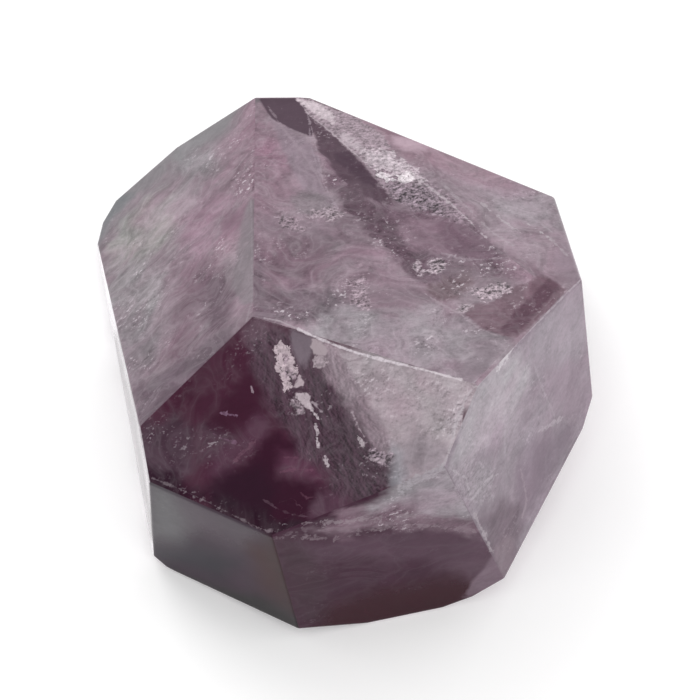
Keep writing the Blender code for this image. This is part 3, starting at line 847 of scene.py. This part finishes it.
class Surface:
    """The stone's vertices, and what is known of each: its facet and where it shows."""

    def __init__(self, mesh):
        self.mesh = mesh
        self.names = list(FACETS)
        points = np.empty(len(mesh.vertices) * 3, np.float32)
        normals = np.empty_like(points)
        mesh.vertices.foreach_get("co", points)
        mesh.vertices.foreach_get("normal", normals)
        self.points = points.reshape(-1, 3).astype(float)
        self.pixels = seen_at(self.points)
        facet_normals = np.array([outward_normal(*facet[:2]) for facet in FACETS.values()])
        self.alignment = normals.reshape(-1, 3) @ facet_normals.T
        self.facet = self.alignment.argmax(1)
        elevation = radians(CAMERA_ELEVATION)
        facing = normals.reshape(-1, 3) @ np.array((0, -cos(elevation), sin(elevation)))
        self.turned_away = np.clip(-facing, 0, 1) * TURNED_AWAY
        seen = [self.names.index(name) for name in SEEN_FACETS]
        self.seen_facet = np.array(seen)[self.alignment[:, seen].argmax(1)]
        self.lit = np.array([LOOKS[name].lit for name in self.names])
        self.gloss = np.array([LOOKS[name].gloss for name in self.names])
        milk = np.array([LOOKS[name].milk for name in self.names])[self.facet]
        self.grain = swirled(grain_places(self.points, self.facet), milk)
        self.layers = {}

    def store(self, name, *columns):
        """Keep up to four numbers for each vertex, for the material to read."""
        values = np.zeros((len(self.points), 4))
        for number, column in enumerate(columns):
            values[:, number] = column
        layer = self.mesh.attributes.new(name, "FLOAT_COLOR", "POINT")
        layer.data.foreach_set("color", values.astype(np.float32).ravel())

    def painted(self, colour, milk, facet):
        """The crystal's own colour, in linear light, that shows as the given one on each facet."""
        cloudy = 1 - CLEAR + (CLEAR - MILKY) * milk
        own = (np.array(linear(colour)) - self.gloss[facet, None]) / self.lit[facet, None] / cloudy
        return own.clip(DARKEST, LIGHTEST)

    def on_facets(self, facets):
        """Whether each vertex is on these facets or their rims."""
        wanted = [self.names.index(name) for name in facets.split()]
        return np.isin(self.seen_facet, wanted)

    def facet_looks(self):
        """Each facet's own tone, blended over its edges, and its texture: how milky, sparkling and
        fibrous it is and, as a fourth number, whether it is hidden."""
        share = np.exp(EDGE_SHARPNESS * (self.alignment - self.alignment.max(1, keepdims=True)))
        share /= share.sum(1, keepdims=True)
        every = np.arange(len(self.names))
        looks = [LOOKS[name] for name in self.names]
        tones = [self.painted(look.colour, look.milk, every)[k] for k, look in enumerate(looks)]
        hidden = [name not in SEEN_FACETS for name in self.names]
        textures = [(look.milk, 0, 0, unseen) for look, unseen in zip(looks, hidden)]
        return share @ np.array(tones), share @ np.array(textures, float)

    def clouds(self, size, octaves, stretch=1):
        """Cloudy noise around 0, at each vertex, with its largest clouds of that size in mm."""
        places = self.grain / (size * stretch, size, size)
        detail = (CLOUD_SMOOTHNESS, OCTAVE_RATIO, octaves)
        return np.array([noise.fractal(place, *detail) for place in places]) * CLOUD_SCALE

    def add_hidden_veils(self, tone, hidden):
        """Purple bands, pale veils and flat planes on the facets that the photograph doesn't show."""
        deep = (self.clouds(HIDDEN_DEEP_SIZE, 5)[:, None] * 4).clip(0, 1)
        pale = (self.clouds(HIDDEN_PALE_SIZE, 6, 1.8)[:, None] * 4 - 0.2).clip(0, 1)
        deep = deep * hidden * HIDDEN_DEEP_COVER
        pale = pale * hidden * HIDDEN_PALE_COVER
        tone += deep * (self.painted(DEEP_PURPLE, 0.3, self.facet) - tone)
        tone += pale * (self.painted(PALE_VEIL, 0.6, self.facet) - tone)
        centres = [noise.voronoi(place / HIDDEN_PLANE_SIZE)[1][0] for place in self.points / MM]
        step = np.array([noise.cell(centre * PLANE_SCATTER) for centre in centres])
        tone *= 1 + (step[:, None] - 0.5) * hidden * HIDDEN_PLANE_CONTRAST

    def zone_depth(self, zone):
        """How far inside a zone each vertex lies. It fades where the stone turns away."""
        depth = depth_inside(self.pixels, zone.points) - self.turned_away
        return np.where(self.on_facets(zone.facets), depth, FAR_OUTSIDE)

    def draw_soft_zones(self):
        """The facets' looks and the soft zones over them, painted onto the vertices."""
        tone, texture = self.facet_looks()
        self.add_hidden_veils(tone, texture[:, 3:])
        ragged = self.clouds(RAGGED_SIZE, 6, RAGGED_STRETCH)
        for zone in ZONES.values():
            if zone.soft >= CRISP:
                depth = (self.zone_depth(zone) + ragged * zone.ragged) / zone.soft
                share = ((depth + 1) / 2).clip(0, 1)
                share = (share * share * (3 - 2 * share) * zone.cover)[:, None]
                tone += share * (self.painted(zone.colour, zone.milk, self.facet) - tone)
                texture += share * (np.array((zone.milk, zone.sparkle, zone.fibre, 0)) - texture)
        milk = texture[:, :1]
        tone *= 1 + self.clouds(CLOUD_SIZE, 4)[:, None] * (CLEAR_CLOUDS + MILKY_CLOUDS * milk)
        tone *= 1 + self.clouds(HUE_CLOUD_SIZE, 4, 1.4)[:, None] * milk * HUE_SHIFT
        # From here on, the texture's fourth number is how thickly flecks cluster.
        texture[:, 3] = (self.clouds(CLUSTER_SIZE, 4) * 2 - 0.1).clip(0, 1)
        self.store("tone", *tone.T)
        self.store("texture", *texture.T)
        self.store("grain", *self.grain.T)

    def draw_zones(self, kind, zones):
        """Layers of crisp zones: each vertex keeps, per layer, the zone that it lies deepest in."""
        depths = {name: self.zone_depth(zone) for name, zone in zones.items()}
        self.layers[kind] = in_layers(depths, ZONE_REACH)
        for number, names in enumerate(self.layers[kind]):
            label = f"{kind}_{number}"
            layer_depths = np.array([depths[name] for name in names])
            deepest = layer_depths.argmax(0)
            form = np.zeros((len(deepest), 2))
            paint = np.zeros((len(deepest), 4))
            texture = np.zeros((len(deepest), 4))
            for order, name in enumerate(names):
                zone = zones[name]
                here = deepest == order
                form[here] = (zone.soft, zone.ragged)
                paint[here, :3] = self.painted(zone.colour, zone.milk, self.facet[here])
                paint[here, 3] = zone.cover
                texture[here] = (zone.milk, zone.sparkle, zone.fibre, zone.cracks)
            self.store(label + "_form", layer_depths.max(0), *form.T)
            self.store(label + "_paint", *paint.T)
            self.store(label + "_texture", *texture.T)

    def draw_veins(self):
        """Layers of thin lines: each vertex keeps, per layer, where it is along the nearest line."""
        places = {name: along_line(self.pixels, vein.points) for name, vein in VEINS.items()}
        depths = {}
        for name, (across, past_start, past_end) in places.items():
            depth = -np.maximum(np.abs(across), np.maximum(past_start, past_end))
            depths[name] = np.where(self.on_facets(VEINS[name].facets), depth, FAR_OUTSIDE)
        self.layers["vein"] = in_layers(depths, VEIN_REACH)
        for number, names in enumerate(self.layers["vein"]):
            deepest = np.array([depths[name] for name in names]).argmax(0)
            form = np.zeros((len(deepest), 3))
            edge = np.ones((len(deepest), 2))
            paint = np.zeros((len(deepest), 4))
            for order, name in enumerate(names):
                vein = VEINS[name]
                here = deepest == order
                form[here] = np.stack(places[name], -1)[here]
                edge[here] = (vein.width / 2, vein.ragged)
                paint[here, :3] = self.painted(vein.colour, 0.5, self.facet[here])
                paint[here, 3] = vein.cover * (depths[name][here] > -VEIN_REACH)
            paint[:, 3] *= (1 - self.turned_away / VEIN_REACH).clip(0)
            self.store(f"vein_{number}_form", *form.T)
            self.store(f"vein_{number}_edge", *edge.T)
            self.store(f"vein_{number}_paint", *paint.T)


class Graph:
    """Short calls for building a material's nodes. Values are sockets, numbers or colours."""

    def __init__(self, material):
        self.tree = material.node_tree
        coordinates = self.tree.nodes.new("ShaderNodeTexCoord")
        self.places = self.vector("SCALE", coordinates.outputs["Object"], scale=1 / MM)

    def put(self, value, socket):
        """Feed a socket with another socket or with a plain value."""
        if isinstance(value, bpy.types.NodeSocket):
            self.tree.links.new(value, socket)
        else:
            socket.default_value = value

    def vector(self, operation, first, second=None, scale=None):
        """One step of arithmetic on vectors or colours."""
        node = self.tree.nodes.new("ShaderNodeVectorMath")
        node.operation = operation
        self.put(first, node.inputs[0])
        if second is not None:
            self.put(second, node.inputs[1])
        if scale is not None:
            self.put(scale, node.inputs["Scale"])
        return node.outputs[0]

    def math(self, operation, *values, clamp=False):
        """One step of arithmetic on numbers."""
        node = self.tree.nodes.new("ShaderNodeMath")
        node.operation = operation
        node.use_clamp = clamp
        for value, socket in zip(values, node.inputs):
            self.put(value, socket)
        return node.outputs[0]

    def smooth(self, value, low, high):
        """0 at low, 1 at high and a smooth step between."""
        node = self.tree.nodes.new("ShaderNodeMapRange")
        node.interpolation_type = "SMOOTHSTEP"
        self.put(value, node.inputs["Value"])
        self.put(low, node.inputs["From Min"])
        self.put(high, node.inputs["From Max"])
        return node.outputs["Result"]

    def mix(self, factor, first, second):
        """Two colours mixed. They are a Mix node's inputs 6 and 7, and its output 2."""
        node = self.tree.nodes.new("ShaderNodeMix")
        node.data_type = "RGBA"
        self.put(factor, node.inputs[0])
        self.put(first, node.inputs[6])
        self.put(second, node.inputs[7])
        return node.outputs[2]

    def blend(self, factor, first, second):
        """Two numbers mixed."""
        return self.math("MULTIPLY_ADD", factor, self.math("SUBTRACT", second, first), first)

    def parts(self, colour):
        """The three numbers in a colour or vector."""
        node = self.tree.nodes.new("ShaderNodeSeparateXYZ")
        self.put(colour, node.inputs[0])
        return node.outputs[:]

    def attribute(self, name, output="Color"):
        """What the mesh keeps under a name: its first three numbers, or its fourth as Alpha."""
        node = self.tree.nodes.new("ShaderNodeAttribute")
        node.attribute_name = name
        return node.outputs[output]

    def along_grain(self, stretch):
        """Places squeezed along the grain, so that what is drawn there comes out stretched."""
        return self.vector("MULTIPLY", self.attribute("grain"), (1 / stretch, 1, 1))

    def noise(self, size, detail=4, roughness=0.5, distortion=0, places=None):
        """Cloudy noise around 0, up to about a half, with its largest clouds of that size in mm."""
        node = self.tree.nodes.new("ShaderNodeTexNoise")
        self.put(places or self.places, node.inputs["Vector"])
        node.inputs["Scale"].default_value = 1 / size
        node.inputs["Detail"].default_value = detail
        node.inputs["Roughness"].default_value = roughness
        node.inputs["Distortion"].default_value = distortion
        return self.math("SUBTRACT", node.outputs["Fac"], 0.5)

    def relief(self, size, detail, roughness, shift, places=None):
        """Noise as if lit from one side: above 0 on one flank of each bump and below on the other."""
        here = self.noise(size, detail, roughness, 0, places)
        shifted = self.vector("ADD", places or self.places, shift)
        there = self.noise(size, detail, roughness, 0, shifted)
        return self.math("SUBTRACT", here, there)

    def ridges(self, values, sharpness):
        """Thin lines, up to 1, where a noise crosses its middle value."""
        return self.math("MULTIPLY_ADD", self.math("ABSOLUTE", values), -sharpness, 1.0, clamp=True)


def amount_of_zone(graph, label, ragged_noise):
    """How much a layer of zones covers each place, from 0 to its full cover."""
    depth, soft, ragged = graph.parts(graph.attribute(label + "_form"))
    depth = graph.math("MULTIPLY_ADD", ragged_noise, ragged, depth)
    share = graph.smooth(graph.math("DIVIDE", depth, soft), -1, 1)
    return graph.math("MULTIPLY", share, graph.attribute(label + "_paint", "Alpha"))


def amount_of_vein(graph, label, ragged_noise):
    """How much a layer of lines covers each place, from 0 to its full cover."""
    across, past_start, past_end = graph.parts(graph.attribute(label + "_form"))
    half_width, ragged, _ = graph.parts(graph.attribute(label + "_edge"))
    beyond = graph.math("MAXIMUM", graph.math("MAXIMUM", past_start, past_end), 0.0)
    away = graph.math("ADD", graph.math("ABSOLUTE", across), beyond)
    depth = graph.math("SUBTRACT", half_width, away)
    depth = graph.math("MULTIPLY_ADD", ragged_noise, ragged, depth)
    share = graph.smooth(depth, -0.6, 0.6)
    return graph.math("MULTIPLY", share, graph.attribute(label + "_paint", "Alpha"))


def paint_zones(graph, count, ragged_noise):
    """The crystal's tones with the crisp zones over them, and how much of each texture is there."""
    colour = graph.attribute("tone")
    texture = graph.attribute("texture")
    for number in range(count):
        label = f"zone_{number}"
        amount = amount_of_zone(graph, label, ragged_noise)
        colour = graph.mix(amount, colour, graph.attribute(label + "_paint"))
        texture = graph.mix(amount, texture, graph.attribute(label + "_texture"))
    return colour, graph.parts(texture)


def add_clouds(graph, colour, grit, strokes, milk, fibre):
    """Faint streaks, fine frost and strokes like bark, which make the colour lighter and darker. The frost
    and the strokes are painted shading, as of small bumps lit from one side.
    """
    streaks = graph.noise(STREAK_SIZE, 4, 0.55, 0.8, graph.along_grain(1.2))
    frost = graph.math("MULTIPLY", grit, GRIT_STRENGTH)
    change = graph.math("MULTIPLY_ADD", streaks, STREAK_STRENGTH, frost)
    change = graph.math("MULTIPLY", change, graph.math("MULTIPLY_ADD", milk, 0.85, 0.2))
    bark = graph.math("MULTIPLY", graph.math("MULTIPLY", strokes, fibre), BARK_STRENGTH)
    change = graph.math("ADD", graph.math("ADD", change, bark), 1.0)
    return graph.vector("SCALE", colour, scale=graph.math("MAXIMUM", change, 0.3))


def add_flecks(graph, colour, grit, milk, sparkle):
    """Small bright flecks with dark sides, painted as bumps lit from one side, and a few pale threads, like
    frost in the crystal.
    """
    clusters = graph.attribute("texture", "Alpha")
    frosty = graph.math("MULTIPLY", graph.math("MULTIPLY", clusters, milk), FROST_STRENGTH)
    patchy = graph.math("MULTIPLY", sparkle, graph.math("MULTIPLY_ADD", clusters, 1.4, 0.35))
    amount = graph.math("ADD", patchy, frosty)
    bright = graph.math("MULTIPLY", graph.smooth(grit, 0.05, 0.17), amount, clamp=True)
    dark = graph.math("MULTIPLY", graph.smooth(grit, -0.04, -0.16), amount, clamp=True)
    curls = graph.noise(THREAD_SIZE, 3, 0.5, 1.2, graph.along_grain(1.5))
    fine_threads = graph.math("MULTIPLY", graph.ridges(curls, 34), FINE_THREAD_STRENGTH)
    threads = graph.math("MULTIPLY_ADD", graph.ridges(curls, 8), THREAD_STRENGTH, fine_threads)
    threads = graph.math("MULTIPLY", threads, milk)
    shade = graph.math("MULTIPLY_ADD", dark, FLECK_SHADE, 1.0)
    colour = graph.vector("SCALE", colour, scale=shade)
    return graph.mix(graph.math("MAXIMUM", bright, threads), colour, linear(PALE_FLECK) + [1])


def add_foils(graph, count, colour, milk, grit, strokes, fine_noise):
    """Foils over the zones, partly painted reflection, gritty or split by dark cracks."""
    gaps = graph.smooth(strokes, -0.05, -0.13)
    for number in range(count):
        label = f"foil_{number}"
        amount = amount_of_zone(graph, label, fine_noise)
        foil_milk, sparkle, _ = graph.parts(graph.attribute(label + "_texture"))
        cracks = graph.math("MULTIPLY", gaps, graph.attribute(label + "_texture", "Alpha"))
        change = graph.math("MULTIPLY", graph.math("MULTIPLY", grit, sparkle), FOIL_GRAIN)
        change = graph.math("ADD", change, graph.math("MULTIPLY", cracks, FOIL_CRACK))
        change = graph.math("MAXIMUM", graph.math("ADD", change, 1.0), 0.2)
        foil = graph.vector("SCALE", graph.attribute(label + "_paint"), scale=change)
        colour = graph.mix(amount, colour, foil)
        milk = graph.blend(amount, milk, foil_milk)
    return colour, milk


def add_veins(graph, count, colour, grit, fine_noise):
    """The thin bright lines over everything, painted crest highlights among them, a little broken up."""
    gritty = graph.math("MULTIPLY_ADD", grit, 3.0, 0.85, clamp=True)
    for number in range(count):
        label = f"vein_{number}"
        amount = amount_of_vein(graph, label, fine_noise)
        amount = graph.math("MULTIPLY", amount, gritty)
        colour = graph.mix(amount, colour, graph.attribute(label + "_paint"))
    return colour


def add_absorption(material):
    """Light that goes through the crystal comes out purple."""
    tree = material.node_tree
    absorption = tree.nodes.new("ShaderNodeVolumeAbsorption")
    absorption.inputs["Color"].default_value = ABSORPTION_COLOUR
    absorption.inputs["Density"].default_value = ABSORPTION_DENSITY
    tree.links.new(absorption.outputs["Volume"], tree.nodes["Material Output"].inputs["Volume"])


def fluorite_material(layers):
    """Polished purple fluorite, see-through where it is clear and cloudy where it is milky."""
    material = bpy.data.materials.new("fluorite")
    material.use_nodes = True
    shader = material.node_tree.nodes["Principled BSDF"]
    graph = Graph(material)
    ragged_noise = graph.noise(RAGGED_SIZE, 5, 0.6, 0.6, graph.along_grain(RAGGED_STRETCH))
    ragged_noise = graph.math("MULTIPLY", ragged_noise, RAGGED_STRENGTH)
    fine_noise = graph.noise(FINE_RAGGED_SIZE, 3, 0.65, 0.5)
    fine_noise = graph.math("MULTIPLY", fine_noise, FINE_RAGGED_STRENGTH)
    grit = graph.relief(GRIT_SIZE, 2, 0.6, GRIT_SHIFT)
    strokes = graph.relief(STROKE_SIZE, 5, 0.72, STROKE_SHIFT, graph.along_grain(STROKE_STRETCH))
    colour, (milk, sparkle, fibre) = paint_zones(graph, len(layers["zone"]), ragged_noise)
    colour = add_clouds(graph, colour, grit, strokes, milk, fibre)
    colour = add_flecks(graph, colour, grit, milk, sparkle)
    colour, milk = add_foils(graph, len(layers["foil"]), colour, milk, grit, strokes, fine_noise)
    colour = add_veins(graph, len(layers["vein"]), colour, grit, fine_noise)
    clear = graph.math("MULTIPLY_ADD", milk, MILKY - CLEAR, CLEAR, clamp=True)
    graph.put(colour, shader.inputs["Base Color"])
    graph.put(clear, shader.inputs["Transmission Weight"])
    shader.inputs["Roughness"].default_value = POLISH_ROUGHNESS
    shader.inputs["IOR"].default_value = FLUORITE_IOR
    shader.inputs["Specular IOR Level"].default_value = SPECULAR_LEVEL
    add_absorption(material)
    return material


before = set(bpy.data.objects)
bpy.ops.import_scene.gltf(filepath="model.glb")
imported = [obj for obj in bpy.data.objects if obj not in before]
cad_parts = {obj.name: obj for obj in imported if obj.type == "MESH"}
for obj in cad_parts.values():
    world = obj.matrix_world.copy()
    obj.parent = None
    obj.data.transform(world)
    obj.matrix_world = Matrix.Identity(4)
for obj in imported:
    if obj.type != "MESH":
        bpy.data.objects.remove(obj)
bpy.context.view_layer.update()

add_camera()
add_floor()
add_lights()

stone = fine_stone("fluorite_stone")
surface = Surface(stone.data)
surface.draw_soft_zones()
crisp_zones = {name: zone for name, zone in ZONES.items() if zone.soft < CRISP}
surface.draw_zones("zone", crisp_zones)
surface.draw_zones("foil", FOILS)
surface.draw_veins()
stone.data.materials.append(fluorite_material(surface.layers))
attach(stone, "root")
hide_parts("fluorite_stone")
